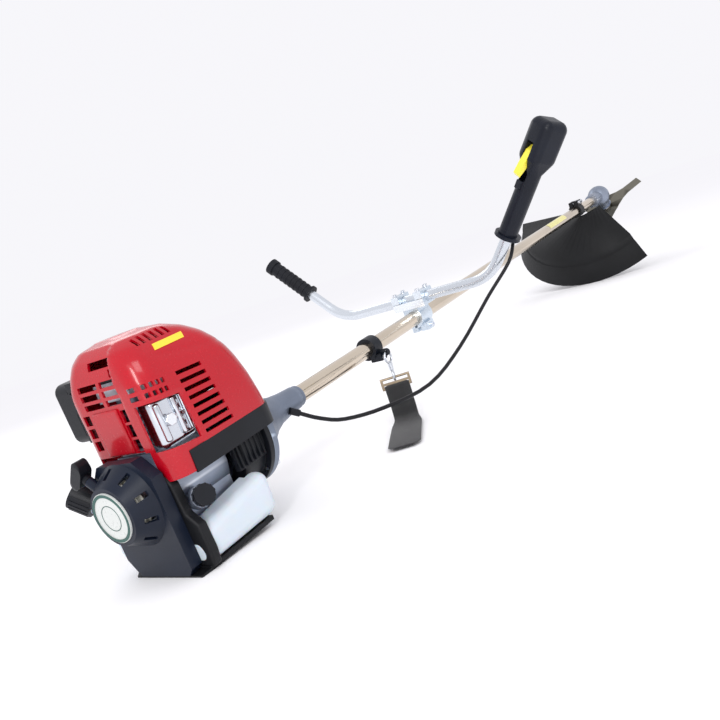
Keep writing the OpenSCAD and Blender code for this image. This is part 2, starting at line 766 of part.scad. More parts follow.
bar_r = bar_d / 2;
bend_r = 80;
bend_run = bend_r * tan(bar_rise / 2);
bar_cap_h = 14;
left_run = 153;
right_run = 118;
// Points along one half of the bar: its straight part, the bend and the rising end.
// side is 1 on the operator's left and -1 on the right.
bend_steps = 8;
bar_wall = 2;
function bar_side(side, rise_len) = concat(
  [[0, side * (bar_half - bend_run - 60), 0]],
  [for (k = [0 : bend_steps]) let (a = bar_rise * k / bend_steps)
    [0, side * (bar_half - bend_run + bend_r * sin(a)), bend_r * (1 - cos(a))]],
  [[0, side * (bar_half + (bend_run + rise_len) * cos(bar_rise)), (bend_run + rise_len) * sin(bar_rise)]]);
function backwards(p) = [for (k = [len(p) - 1 : -1 : 0]) p[k]];
function bar_path(extra) = concat(
  backwards(bar_side(-1, right_run + extra)), bar_side(1, left_run + extra));
module at_bar() translate([bar_x, 0, bar_z]) children();
module handlebar() attitude() color([0.78, 0.82, 0.86]) at_bar()
  difference() {
    cord(bar_path(0), bar_r, 24, [1, 0, 0]);
    cord(bar_path(1), bar_r - bar_wall, 24, [1, 0, 0]);
  }

// Cast bracket: a split clamp on the tube and two half seats for the bar
module bar_bracket() attitude() color([0.74, 0.82, 0.88]) translate([bar_x, 0, 0]) {
  difference() {
    union() {
      rod_x(-20, 20, tube_r + 6);
      block([-20, -16, 0], [20, 16, bar_z - 4]);
      block([-21, -33, bar_z - 14], [21, 33, bar_z - gap / 2]);
      block([-11, -20, -tube_r - 15], [11, 16, -tube_r]);
    }
    rod_x(-22, 22, tube_r + run);
    translate([0, 0, bar_z]) rod_y(-40, 40, bar_r + run);
    block([-25, -3, -40], [25, 3, -5]);
    for (p = cap_screws) translate([p[0] - bar_x, p[1], 0]) rod_z(0, 60, screw_r + run);
    translate([0, 0, -tube_r - 8]) rod_y(-30, 30, screw_r + run);
  }
}
// The two caps over the bar
module bar_caps() attitude() color([0.74, 0.82, 0.88]) translate([bar_x, 0, bar_z]) {
  for (y = [-25, 25]) translate([0, y, 0]) difference() {
    block([-21, -8, gap / 2], [21, 8, bar_cap_h]);
    rod_y(-9, 9, bar_r + run);
    for (x = [-15, 15]) translate([x, 0, 0]) rod_z(-1, bar_cap_h + 1, screw_r + run);
  }
}

// Rubber grip with an inner flange and a bulb at its end
module at_left_grip() at_bar() translate([0, bar_half, 0]) rotate([bar_rise - 90, 0, 0])
  translate([0, 0, bend_run + left_run - 103]) children();
grip_len = 107;
module left_grip() attitude() color([0.05, 0.06, 0.09]) at_left_grip() {
  difference() {
    union() {
      rod_z(0, 5, 17.5);
      rod_z(4, grip_len, 13.5);
      for (k = [0 : 6]) rod_z(14 + 11 * k, 18 + 11 * k, 14.3);
      rod_z(grip_len - 12, grip_len, 16);
    }
    rod_z(-1, 103.2, bar_r + run);
  }
}

// ------------------------------------------------------ throttle grip

trigger_roll = 60;
grip_start = bend_run + 40;
module at_right_grip() at_bar() translate([0, -bar_half, 0]) rotate([90 - bar_rise, 0, 0])
  translate([0, 0, grip_start]) children();
module rolled() rotate([0, 0, trigger_roll]) children();
throttle_len = 196;
pivot_y = 9;
pivot_z = 146;
lock_z = 91;
module throttle_body() {
  rod_z(0, 6, 22);
  hull() {
    rod_z(5, 124, 15);
    translate([0, 4, 0]) rod_z(5, 124, 14);
  }
  hull() {
    for (x = [-9, 9]) for (y = [-8, 14]) for (z = [138, throttle_len - 14])
      translate([x, y, z]) sphere(r = 14, $fn = 24);
    translate([0, 2, 112]) sphere(r = 15, $fn = 24);
  }
}
module throttle_hollow() {
  rod_z(-1, right_run - grip_start + bend_run + 1, bar_r + run);
  block([-7, -6, 98], [7, 50, 160]);
  translate([0, pivot_y, pivot_z]) rod_x(-11, 11, 3 + run);
  block([-5.3, 6, lock_z - 7.3], [5.3, 40, lock_z + 7.3]);
  block([10, -3.3, 162], [30, 3.3, 186]);
}
module throttle_half(side) attitude() at_right_grip() rolled() intersection() {
  difference() {
    throttle_body();
    throttle_hollow();
  }
  translate([side > 0 ? 0.05 : -100.05, -100, -10]) cube([100, 200, 300]);
}
module grip_shell_rear() color([0.05, 0.06, 0.09]) throttle_half(-1);
module grip_shell_front() color([0.05, 0.06, 0.09]) throttle_half(1);
module throttle_trigger() attitude() color([0.95, 0.9, 0.2]) at_right_grip() rolled() {
  translate([0, pivot_y, pivot_z]) rod_x(-10, 10, 3);
  translate([-6, 0, 0]) rotate([90, 0, 90]) linear_extrude(12)
    polygon([[4, 142], [4, 151], [17, 154], [25, 146], [30, 126], [33, 108], [28, 104], [22, 118], [17, 130], [11, 138]]);
}
module throttle_lock() attitude() color([0.1, 0.12, 0.18]) at_right_grip() rolled()
  block([-5, 10, lock_z - 7], [5, 22, lock_z + 7]);
module stop_switch() attitude() color([0.1, 0.1, 0.12]) at_right_grip() rolled() {
  block([14, -3, 163], [24, 3, 179]);
  block([23.3, -5, 164], [27, 5, 178]);
}

// ------------------------------------------------------ throttle cable

cable_r = 3;
boot_r = 5;
cable_out = [-34, -25, -16];
cable_route = [
  cable_out, [-10, -35, -36], [22, -50, -54], [80, -80, -66], [160, -115, -68],
  [234, -145, -38], [320, -174, 11], [373, -203, 48.5], [392, -212, 74]
];
cable_dir = unit(cable_route[1] - cable_route[0]);
boot_lean = acos(cable_dir[2]);
boot_turn = atan2(cable_dir[1], cable_dir[0]);
module throttle_cable() attitude() color([0.03, 0.03, 0.04]) cord(curve(cable_route, 7), cable_r, 10);
module at_boot() translate(cable_out) rotate([0, boot_lean, boot_turn]) children();
module cable_boots() attitude() color([0.04, 0.04, 0.05]) {
  at_boot() rod_z(-16, -0.6, boot_r);
  translate(cable_route[8]) rotate([90 - bar_rise, 0, 0]) rod_z(2.7, 10, boot_r);
}

// ---------------------------------------------------- gear head, blade

pinion_back = 24;
pinion_front = 12;
pitch_in = 23;
pitch_out = 32;
module gear_case() attitude() color([0.7, 0.76, 0.84]) {
  difference() {
    union() {
      translate([gear_x, 0, 0]) sphere(r = 32);
      rod_x(tube_end - 17, gear_x - 10, 19);
      head() rod_z(0, 39, 20);
      head() rod_z(37, 39, 23);
      // lug with the hole that takes a locking bar
      head() translate([-26, 0, 0]) rod_z(24, 39, 6);
      head() block([-26, -6, 24], [-15, 6, 39]);
    }
    translate([gear_x, 0, 0]) sphere(r = 27);
    rod_x(tube_end - 18, tube_end + run, tube_r + run);
    rod_x(tube_end - 1, tube_end + 6.5, 10);
    rod_x(tube_end + 6, gear_x - 20, bearing_r + run);
    head() rod_z(18, 36, bearing_r + run);
    head() rod_z(30, 40, 8);
    head() translate([-26, 0, 0]) rod_z(20, 40, 2.75);
  }
}
module bevel_pinion() attitude() color([0.55, 0.55, 0.57]) {
  rod_x(pinion_joint, gear_x - pinion_back + 0.5, output_r);
  translate([gear_x - pinion_back, 0, 0]) rotate([0, 90, 0])
    cylinder(h = pinion_back - pinion_front, r1 = pinion_back * tan(pitch_in) - 0.2, r2 = pinion_front * tan(pitch_in) - 0.2);
}
module output_shaft() attitude() color([0.55, 0.55, 0.57]) head() {
  gear_top = -22;
  gear_low = -12;
  translate([0, 0, gear_top]) cylinder(h = gear_low - gear_top, r1 = -gear_top * tan(pitch_out) - 0.2, r2 = -gear_low * tan(pitch_out) - 0.2);
  rod_z(gear_low - 0.5, 60, output_r);
}
blade_top = hub_drop - blade_t / 2;
blade_low = hub_drop + blade_t / 2;
module blade_flanges() attitude() color([0.35, 0.35, 0.37]) head() {
  difference() {
    union() {
      rod_z(40, blade_top, 20);
      rod_z(blade_top - 0.5, blade_low - 0.2, arbor_r - run);
    }
    rod_z(38, 55, output_r + run);
  }
  sleeve_z(blade_low, blade_low + 3, 20, output_r + run);
}
module blade() attitude() color([0.13, 0.12, 0.09]) head() rotate([0, 0, blade_turn]) {
  arms = 3;
  hub = 46;
  difference() {
    union() {
      rod_z(blade_top, blade_low, hub);
      for (k = [0 : arms - 1]) rotate([0, 0, k * 360 / arms]) translate([0, 0, blade_top])
        linear_extrude(blade_t) polygon([[28, -36], [56, -21], [78, -15], [blade_d / 2, -14], [blade_d / 2, 14], [78, 15], [56, 21], [28, 36]]);
    }
    rod_z(blade_top - 1, blade_low + 1, arbor_r);
  }
}
module blade_nut() attitude() color([0.6, 0.6, 0.62]) head() {
  difference() {
    translate([0, 0, blade_low + 3]) cylinder(h = 8, r = 9.5, $fn = 6);
    rod_z(blade_low, blade_low + 12, output_r + run);
  }
}

// --------------------------------------------------------------- guard

// Plan of the guard in the head's frame: +X towards the operator, +Y left
bracket_x = tube_end - 160;
guard_mid = 35;
guard_right = -36;
guard_left = 90;
guard_steps = 20;
guard_skin = 3;
ridge_z = hub_drop - ridge_rise;
rim_low = hub_drop + rim_drop;
// The guard is one bent sheet, drawn as a row of sections from the tube to the rim.
// Each section goes out along the outer face and comes back along the inner one.
spine_near = 74;
spine_far = 204;
spine_gap = 19;
spine_half = 17;
function spine(share) =
  let (s = spine_near + (spine_far - spine_near) * sin(180 * share))
    [s * cos(head_tilt) + spine_gap * sin(head_tilt), -spine_half * cos(180 * share),
      spine_gap * cos(head_tilt) - s * sin(head_tilt)];
function fan(r, share, z) =
  let (a = guard_right + (guard_left - guard_right) * share)
    [r * cos(a), guard_mid + r * sin(a), z];
function guard_section(share) = [
  spine(share), fan(ridge_r, share, ridge_z), fan(ridge_r + 7, share, ridge_z + 22),
  fan(ridge_r + 11, share, ridge_z + 23), fan(rim_r, share, rim_low),
  fan(rim_r - guard_skin, share, rim_low), fan(ridge_r + 8, share, ridge_z + 26),
  fan(ridge_r + 4, share, ridge_z + 25), fan(ridge_r - 3, share, ridge_z + 3),
  spine(share) + [1, 0, guard_skin]
];
module guard() attitude() color([0.05, 0.06, 0.08]) head() {
  n = 10;
  corners = [for (k = [0 : guard_steps]) for (p = guard_section(k / guard_steps)) p];
  last = guard_steps * n;
  faces = concat(
    [for (i = [0 : n / 2 - 2]) for (f = [[i, n - 1 - i, n - 2 - i], [i, n - 2 - i, i + 1]]) f],
    [for (k = [0 : guard_steps - 1]) for (i = [0 : n - 1])
      let (p = k * n + i, q = k * n + (i + 1) % n)
        for (f = i < n / 2 ? [[p, q, q + n], [p, q + n, p + n]] : [[p, q, p + n], [q, q + n, p + n]]) f],
    [for (i = [0 : n / 2 - 2]) for (f = [[i, n - 2 - i, n - 1 - i], [i, i + 1, n - 2 - i]])
      [last + f[0], last + f[1], last + f[2]]]);
  polyhedron(corners, faces, convexity = 6);
}
// Clamp that holds the guard on the tube
module guard_bracket() attitude() color([0.1, 0.11, 0.13]) translate([bracket_x, 0, 0]) {
  difference() {
    union() {
      rod_x(-16, 16, tube_r + 5);
      block([-16, -14, tube_r], [16, 12, tube_r + 15]);
    }
    rod_x(-17, 17, tube_r + run);
    block([-17, -2, 5], [17, 2, tube_r + 16]);
    for (x = [-9, 9]) translate([x, 0, tube_r + 9]) rod_y(-30, 30, screw_r + run);
  }
}

engine_stand();
fuel_tank();
fuel_cap();
crankcase();
oil_filler_cap();
crankshaft();
connecting_rod();
piston();
engine_cylinder();
rocker_cover();
spark_plug();
plug_cap();
muffler();
carburettor();
carb_lever();
choke_lever();
primer_bulb();
air_cleaner_case();
air_filter();
air_cleaner_cover();
top_cover();
lower_shroud();
fan_cover();
flywheel();
clutch_shoes();
clutch_drum();
clutch_housing();
shaft_bearings();
recoil_housing();
recoil_pulley();
starter_handle();
starter_rope();
centre_badge();
main_tube();
drive_shaft();
shaft_bushings();
clamp_screws();
hanger_clamp();
harness_hook();
strap_buckle();
harness_strap();
bar_bracket();
bar_caps();
handlebar();
left_grip();
grip_shell_rear();
grip_shell_front();
throttle_trigger();
throttle_lock();
stop_switch();
throttle_cable();
cable_boots();
gear_case();
bevel_pinion();
output_shaft();
blade_flanges();
blade();
blade_nut();
guard();
guard_bracket();
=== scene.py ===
"""Brush cutter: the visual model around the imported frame. Lengths are in metres.

Most shapes are drawn in the machine's own frame, as the CAD is: +X runs along the tube to
the blade, +Y is the operator's left and x = 0 is the mouth of the clutch housing. The joint
crank_spin of the record says how that frame lies in the row's frame.
"""
import json
import math

import bmesh
import bpy
from mathutils import Matrix, Vector


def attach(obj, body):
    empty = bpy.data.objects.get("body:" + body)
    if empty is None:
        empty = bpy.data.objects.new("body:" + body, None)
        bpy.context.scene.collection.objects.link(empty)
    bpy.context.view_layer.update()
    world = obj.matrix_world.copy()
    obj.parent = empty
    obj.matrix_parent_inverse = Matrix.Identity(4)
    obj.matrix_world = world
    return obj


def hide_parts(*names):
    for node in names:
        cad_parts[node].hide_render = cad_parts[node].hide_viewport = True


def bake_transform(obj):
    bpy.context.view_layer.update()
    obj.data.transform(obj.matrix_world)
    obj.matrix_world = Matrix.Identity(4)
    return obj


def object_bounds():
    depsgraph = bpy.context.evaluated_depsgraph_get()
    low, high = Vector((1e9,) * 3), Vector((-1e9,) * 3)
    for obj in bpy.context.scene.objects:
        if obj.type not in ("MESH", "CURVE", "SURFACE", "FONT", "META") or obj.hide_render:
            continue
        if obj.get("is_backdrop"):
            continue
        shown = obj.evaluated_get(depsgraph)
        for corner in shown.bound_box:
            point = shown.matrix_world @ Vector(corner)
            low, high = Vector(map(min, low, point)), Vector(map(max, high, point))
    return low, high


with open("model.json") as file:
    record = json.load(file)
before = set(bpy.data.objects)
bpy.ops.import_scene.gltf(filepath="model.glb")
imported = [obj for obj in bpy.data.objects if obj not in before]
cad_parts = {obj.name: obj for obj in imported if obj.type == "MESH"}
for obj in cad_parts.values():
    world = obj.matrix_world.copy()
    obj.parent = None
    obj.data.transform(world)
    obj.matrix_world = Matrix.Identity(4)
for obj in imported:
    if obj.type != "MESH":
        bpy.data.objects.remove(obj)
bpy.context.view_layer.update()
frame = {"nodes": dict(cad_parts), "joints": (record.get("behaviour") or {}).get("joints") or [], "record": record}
nodes = frame["nodes"]
joints = {j["name"]: j for j in frame["joints"]}
scene = bpy.context.scene
MM = 0.001

# ------------------------------------------------------------------ frames

# Place on the crank axis, in machine millimetres, that crank_spin turns about
CRANK_POINT = -200


def machine_matrix():
    """Machine frame, in millimetres, to row frame, in metres."""
    along = Vector(joints["crank_spin"]["axis"]).normalized()
    left = Vector((0, 1, 0))
    up = along.cross(left)
    turn = Matrix((along, left, up)).transposed()
    origin = Vector(joints["crank_spin"]["pos_m"]) - turn @ Vector((CRANK_POINT * MM, 0, 0))
    return Matrix.Translation(origin) @ turn.to_4x4() @ Matrix.Scale(MM, 4)


MACHINE = machine_matrix()
TURN = MACHINE.to_3x3() * (1 / MM)


def at(x, y, z):
    """Row-frame point of a machine-frame one given in millimetres."""
    return MACHINE @ Vector((x, y, z))


# ------------------------------------------------------------------ camera


# Viewpoint behind the machine on the operator's right, and the directions of the view
CAMERA_EYE = (-756.5, -726.9, 206.1)
CAMERA_RIGHT = Vector((0.52631, -0.77287, -0.35451))
CAMERA_DOWN = Vector((-0.35428, 0.17970, -0.91771))
CAMERA_SENSOR = 36
CAMERA_LENS = 36.95
CAMERA_REACH = 100


def camera():
    """Camera in the machine frame, looking along the tube from behind the engine."""
    ahead = CAMERA_RIGHT.cross(CAMERA_DOWN)
    data = bpy.data.cameras.new("camera")
    data.sensor_width = CAMERA_SENSOR
    data.lens = CAMERA_LENS
    data.clip_end = CAMERA_REACH
    obj = bpy.data.objects.new("camera", data)
    scene.collection.objects.link(obj)
    axes = Matrix((TURN @ CAMERA_RIGHT, TURN @ -CAMERA_DOWN, TURN @ -ahead)).transposed()
    obj.matrix_world = Matrix.Translation(at(*CAMERA_EYE)) @ axes.to_4x4()
    scene.camera = obj


camera()

# --------------------------------------------------------------- materials

# Worn edges show between these values of the geometry's pointiness
WEAR_START, WEAR_STOP = 0.52, 0.58
# Dark plastics and rubbers mirror less than the shader's default
DULL = 0.26


def new_material(name):
    """Empty material, its node tree and its shader."""
    mat = bpy.data.materials.new(name)
    mat.use_nodes = True
    tree = mat.node_tree
    shader = tree.nodes["Principled BSDF"]
    return mat, tree, shader


def noise(tree, scale, detail=4, stretch=(1, 1, 1)):
    """Noise in row coordinates; scale is features per metre."""
    place = tree.nodes.new("ShaderNodeTexCoord")
    fit = tree.nodes.new("ShaderNodeMapping")
    fit.inputs["Scale"].default_value = stretch
    tex = tree.nodes.new("ShaderNodeTexNoise")
    tex.inputs["Scale"].default_value = scale
    tex.inputs["Detail"].default_value = detail
    tree.links.new(place.outputs["Object"], fit.inputs["Vector"])
    tree.links.new(fit.outputs["Vector"], tex.inputs["Vector"])
    return tex.outputs["Fac"]


def ranged(tree, value, low, high, start=0.3, stop=0.7):
    """Value mapped from start..stop to low..high."""
    node = tree.nodes.new("ShaderNodeMapRange")
    node.inputs["From Min"].default_value = start
    node.inputs["From Max"].default_value = stop
    node.inputs["To Min"].default_value = low
    node.inputs["To Max"].default_value = high
    tree.links.new(value, node.inputs["Value"])
    return node.outputs["Result"]


def mixed(tree, factor, a, b):
    """Colour between a and b, each a colour or a socket."""
    node = tree.nodes.new("ShaderNodeMix")
    node.data_type = "RGBA"
    tree.links.new(factor, node.inputs["Factor"])
    for socket, value in ((node.inputs["A"], a), (node.inputs["B"], b)):
        if isinstance(value, bpy.types.NodeSocket):
            tree.links.new(value, socket)
        else:
            socket.default_value = (*value, 1)
    return node.outputs["Result"]


def bump(tree, shader, height, distance):
    """Bumps of a height of distance metres, on the shader's normal."""
    node = tree.nodes.new("ShaderNodeBump")
    node.inputs["Strength"].default_value = 1
    node.inputs["Distance"].default_value = distance
    tree.links.new(height, node.inputs["Height"])
    tree.links.new(node.outputs["Normal"], shader.inputs["Normal"])


def shade(colour, factor):
    """Colour made darker or lighter."""
    return tuple(min(1, c * factor) for c in colour)


def surface(name, colour, rough, metal=0, blotch=14, vary=0.12, grain=900, depth=0.00004,
            stretch=(1, 1, 1), wear=None, **sockets):
    """Colour with soft blotches, roughness that varies, a fine grain, and worn edges.

    blotch and grain are features per metre, vary is the blotches' share of the colour,
    depth is the grain's height in metres and wear is the colour of worn edges.
    """
    mat, tree, shader = new_material(name)
    soft = noise(tree, blotch)
    dark, light = shade(colour, 1 - vary), shade(colour, 1 + vary)
    tint = mixed(tree, ranged(tree, soft, 0, 1), dark, light)
    if wear:
        shape = tree.nodes.new("ShaderNodeNewGeometry")
        edge = ranged(tree, shape.outputs["Pointiness"], 0, 1, WEAR_START, WEAR_STOP)
        tint = mixed(tree, edge, tint, wear)
    tree.links.new(tint, shader.inputs["Base Color"])
    fine = noise(tree, grain, 3, stretch)
    gloss = ranged(tree, fine, rough * 0.82, min(1, rough * 1.2))
    tree.links.new(gloss, shader.inputs["Roughness"])
    bump(tree, shader, fine, depth)
    shader.inputs["Metallic"].default_value = metal
    for key, value in sockets.items():
        shader.inputs[key.replace("_", " ")].default_value = value
    return mat


def dull(name, colour, rough, **settings):
    """Dark plastic or rubber."""
    return surface(name, colour, rough, Specular_IOR_Level=DULL, **settings)


def webbing_material():
    """Woven black webbing: ribs across and a fine twill along."""
    mat, tree, shader = new_material("webbing")
    place = tree.nodes.new("ShaderNodeTexCoord")
    waves = []
    for direction, scale in (("X", 330), ("Y", 420)):
        wave = tree.nodes.new("ShaderNodeTexWave")
        wave.bands_direction = direction
        wave.inputs["Scale"].default_value = scale
        wave.inputs["Distortion"].default_value = 0.4
        tree.links.new(place.outputs["UV"], wave.inputs["Vector"])
        waves.append(wave.outputs["Fac"])
    both = tree.nodes.new("ShaderNodeMath")
    both.operation = "MULTIPLY"
    tree.links.new(waves[0], both.inputs[0])
    tree.links.new(waves[1], both.inputs[1])
    tree.links.new(mixed(tree, both.outputs[0], (0.006, 0.006, 0.007), (0.028, 0.029, 0.033)),
                   shader.inputs["Base Color"])
    tree.links.new(ranged(tree, noise(tree, 60), 0.72, 0.92), shader.inputs["Roughness"])
    bump(tree, shader, both.outputs[0], 0.0004)
    shader.inputs["Sheen Weight"].default_value = 0.25
    return mat


PAINT = {
    "hood_red": surface("hood_red", (0.42, 0.001, 0.010), 0.24, blotch=9, vary=0.06, grain=260,
                        depth=0.000012, Specular_IOR_Level=0.3, Coat_Weight=0.35,
                        Coat_Roughness=0.05),
    "stand_plastic": dull("stand_plastic", (0.005, 0.0055, 0.007), 0.5, vary=0.3),
    "tank_plastic": surface("tank_plastic", (0.62, 0.67, 0.73), 0.36, vary=0.02, grain=300,
                            depth=0.00002, Subsurface_Weight=0.35, Subsurface_Scale=0.01),
    "black_plastic": dull("black_plastic", (0.005, 0.006, 0.009), 0.42, vary=0.3),
    "starter_plastic": dull("starter_plastic", (0.006, 0.010, 0.022), 0.36, vary=0.22),
    "badge": surface("badge", (0.60, 0.62, 0.60), 0.3, vary=0.03, grain=300, depth=0.00001),
    "cast_alloy": surface("cast_alloy", (0.30, 0.34, 0.42), 0.42, 0.85, vary=0.2, grain=1100,
                          depth=0.00012, wear=(0.8, 0.84, 0.9)),
    "housing_alloy": surface("housing_alloy", (0.17, 0.20, 0.26), 0.45, 0.6, vary=0.14,
                             grain=1000, depth=0.0001, wear=(0.45, 0.52, 0.62)),
    "steel": surface("steel", (0.5, 0.5, 0.52), 0.3, 1, vary=0.12, stretch=(0.1, 1, 1)),
    "clutch_lining": surface("clutch_lining", (0.2, 0.16, 0.1), 0.8, vary=0.25),
    "porcelain": surface("porcelain", (0.88, 0.87, 0.83), 0.15, vary=0.03),
    "muffler_metal": surface("muffler_metal", (0.62, 0.65, 0.7), 0.16, 1, vary=0.2, grain=420,
                             depth=0.00005, stretch=(1, 1, 0.2)),
    "black_rubber": dull("black_rubber", (0.006, 0.007, 0.011), 0.55, vary=0.25, grain=1500,
                         depth=0.00008),
    "bulb_rubber": surface("bulb_rubber", (0.6, 0.58, 0.5), 0.3, Subsurface_Weight=0.3),
    "foam": surface("foam", (0.12, 0.12, 0.11), 0.9, grain=1400, depth=0.0006),
    "pulley_nylon": surface("pulley_nylon", (0.7, 0.69, 0.6), 0.4),
    "rope_fibre": surface("rope_fibre", (0.62, 0.62, 0.57), 0.8, grain=1800, depth=0.0004,
                          Sheen_Weight=0.2),
    "tube_metal": surface("tube_metal", (0.62, 0.54, 0.44), 0.17, 1, blotch=5, vary=0.1,
                          grain=700, depth=0.00002, stretch=(0.05, 1, 1)),
    "bushing_rubber": surface("bushing_rubber", (0.03, 0.03, 0.03), 0.7),
    "screw_steel": surface("screw_steel", (0.66, 0.69, 0.74), 0.24, 1, wear=(0.9, 0.92, 0.95)),
    "hanger_plastic": dull("hanger_plastic", (0.006, 0.008, 0.013), 0.38, vary=0.25),
    "buckle_metal": surface("buckle_metal", (0.34, 0.27, 0.19), 0.36, 0.9, vary=0.2),
    "webbing": webbing_material(),
    "bright_cast": surface("bright_cast", (0.60, 0.68, 0.76), 0.3, 0.9, vary=0.14, grain=1000,
                           depth=0.0001, wear=(0.92, 0.95, 0.98)),
    "bar_metal": surface("bar_metal", (0.68, 0.72, 0.77), 0.27, 0.95, blotch=8, vary=0.06,
                         grain=900, depth=0.00002),
    "grip_plastic": dull("grip_plastic", (0.005, 0.007, 0.014), 0.36, vary=0.25),
    "trigger_yellow": surface("trigger_yellow", (0.86, 0.75, 0.06), 0.3, vary=0.06, grain=500,
                              depth=0.00002, Coat_Weight=0.2),
    "cable_jacket": dull("cable_jacket", (0.008, 0.008, 0.010), 0.34, vary=0.2),
    "blade_steel": surface("blade_steel", (0.024, 0.021, 0.013), 0.42, 0.6, vary=0.35,
                           grain=500, stretch=(0.3, 1, 1), wear=(0.16, 0.15, 0.12)),
    "guard_plastic": dull("guard_plastic", (0.005, 0.0055, 0.0065), 0.5, vary=0.3, grain=1300,
                          depth=0.0001),
    "label_yellow": surface("label_yellow", (0.85, 0.62, 0.04), 0.3, vary=0.05),
    "label_pale": surface("label_pale", (0.80, 0.74, 0.30), 0.35, vary=0.05),
    "badge_green": surface("badge_green", (0.01, 0.075, 0.06), 0.35, vary=0.15),
}

# ------------------------------------------------------------ mesh helpers


def finish_piece(obj, material, body, replaced=(), angle=40):
    """Smooth shading with creases, a material, a body and the nodes it stands for."""
    obj.data.materials.clear()
    obj.data.materials.append(PAINT[material])
    if obj.type == "MESH":
        obj.data.polygons.foreach_set("use_smooth", [True] * len(obj.data.polygons))
        obj.data.set_sharp_from_angle(angle=math.radians(angle))
    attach(obj, body)
    if replaced:
        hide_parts(*replaced)
    return obj


def mesh_object(name, verts, faces, to_row=MACHINE):
    """New object from machine-frame millimetres."""
    data = bpy.data.meshes.new(name)
    data.from_pydata([to_row @ Vector(v) for v in verts], [], faces)
    data.validate()
    obj = bpy.data.objects.new(name, data)
    scene.collection.objects.link(obj)
    tidy = bmesh.new()
    tidy.from_mesh(data)
    bmesh.ops.recalc_face_normals(tidy, faces=tidy.faces)
    tidy.to_mesh(data)
    tidy.free()
    return obj


def apply_all(obj):
    """Replaces the mesh by the one that its modifiers make."""
    bpy.context.view_layer.update()
    graph = bpy.context.evaluated_depsgraph_get()
    made = bpy.data.meshes.new_from_object(obj.evaluated_get(graph))
    obj.modifiers.clear()
    obj.data = made
    return obj


def modifier(obj, kind, **settings):
    """Adds a modifier with its settings."""
    made = obj.modifiers.new(kind.lower(), kind)
    for key, value in settings.items():
        setattr(made, key, value)
    return made


def bevelled(obj, width, segments=2, angle=30):
    """Rounds the edges; width is in millimetres."""
    modifier(obj, "BEVEL", width=width * MM, segments=segments, limit_method="ANGLE",
             angle_limit=math.radians(angle), use_clamp_overlap=True)
    return obj


def box_mesh(corners):
    """Vertices and faces of a box from its low and high corners, or from eight points."""
    if len(corners) == 2:
        (x0, y0, z0), (x1, y1, z1) = corners
        corners = [(x0, y0, z0), (x1, y0, z0), (x1, y1, z0), (x0, y1, z0),
                   (x0, y0, z1), (x1, y0, z1), (x1, y1, z1), (x0, y1, z1)]
    faces = [(0, 3, 2, 1), (4, 5, 6, 7), (0, 1, 5, 4), (1, 2, 6, 5), (2, 3, 7, 6), (3, 0, 4, 7)]
    return corners, faces


def boxes(name, all_corners):
    """One object of several separate boxes."""
    verts, faces = [], []
    for corners in all_corners:
        v, f = box_mesh(corners)
        faces += [tuple(i + len(verts) for i in q) for q in f]
        verts += v
    return mesh_object(name, verts, faces)


def carve(obj, cutter):
    """Takes the cutter's volume out of obj and removes the cutter."""
    modifier(obj, "BOOLEAN", object=cutter, operation="DIFFERENCE", solver="MANIFOLD")
    apply_all(obj)
    bpy.data.objects.remove(cutter)


def loft(name, rings, closed_start=True, closed_end=True):
    """Surface through rings of equally many points, in machine millimetres."""
    n = len(rings[0])
    verts = [p for ring in rings for p in ring]
    faces = [(k * n + i, k * n + (i + 1) % n, (k + 1) * n + (i + 1) % n, (k + 1) * n + i)
             for k in range(len(rings) - 1) for i in range(n)]
    if closed_start:
        faces.append(tuple(range(n)))
    if closed_end:
        faces.append(tuple((len(rings) - 1) * n + i for i in range(n)))
    return mesh_object(name, verts, faces)


def disc(name, x0, x1, r, sides):
    """Solid cylinder along the machine's x axis."""
    return loft(name, [circle(x, r, sides) for x in (x0, x1)])


def prism_y(name, outline, y0, y1):
    """Solid between y0 and y1 over an outline of x and z."""
    return loft(name, [[Vector((x, y, z)) for x, z in outline] for y in (y0, y1)])


def circle(x, r, sides):
    """Ring of points round the machine's x axis."""
    angles = [2 * math.pi * i / sides for i in range(sides)]
    return [Vector((x, r * math.cos(a), r * math.sin(a))) for a in angles]


def smooth_row(keys, value, i):
    """Catmull-Rom through keys, each (place, numbers...), for number i at that place."""
    k = max(j for j in range(len(keys) - 1) if keys[j][0] <= value or j == 0)
    p = [keys[min(max(j, 0), len(keys) - 1)] for j in (k - 1, k, k + 1, k + 2)]
    t = (value - p[1][0]) / (p[2][0] - p[1][0])
    a, b, c, d = (q[i] for q in p)
    return 0.5 * (2 * b + (c - a) * t + (2 * a - 5 * b + 4 * c - d) * t * t
                  + (3 * b - a - 3 * c + d) * t ** 3)


def curve_points(points, steps):
    """Smooth curve through points."""
    keys = [(i, *p) for i, p in enumerate(points)]
    count = (len(points) - 1) * steps
    return [Vector(smooth_row(keys, j / steps, i) for i in (1, 2, 3))
            for j in range(count + 1)]


# Steps of each rounded corner and of each straight side of a rounded ring
ARC_STEPS = 10
SIDE_STEPS = 30


def rounded_ring(x0, x1, y0, y1, r, z):
    """Rounded rectangle at height z, with evenly split sides."""
    ring = []
    corners = [(x1 - r, y0 + r, -90), (x1 - r, y1 - r, 0),
               (x0 + r, y1 - r, 90), (x0 + r, y0 + r, 180)]
    for k, (cx, cy, start) in enumerate(corners):
        for s in range(ARC_STEPS + 1):
            a = math.radians(start + 90 * s / ARC_STEPS)
            ring.append(Vector((cx + r * math.cos(a), cy + r * math.sin(a), z)))
        nx, ny, begin = corners[(k + 1) % 4]
        b = math.radians(begin)
        last = ring[-1].copy()
        first = Vector((nx + r * math.cos(b), ny + r * math.sin(b), z))
        ring += [last.lerp(first, s / SIDE_STEPS) for s in range(1, SIDE_STEPS)]
    return ring


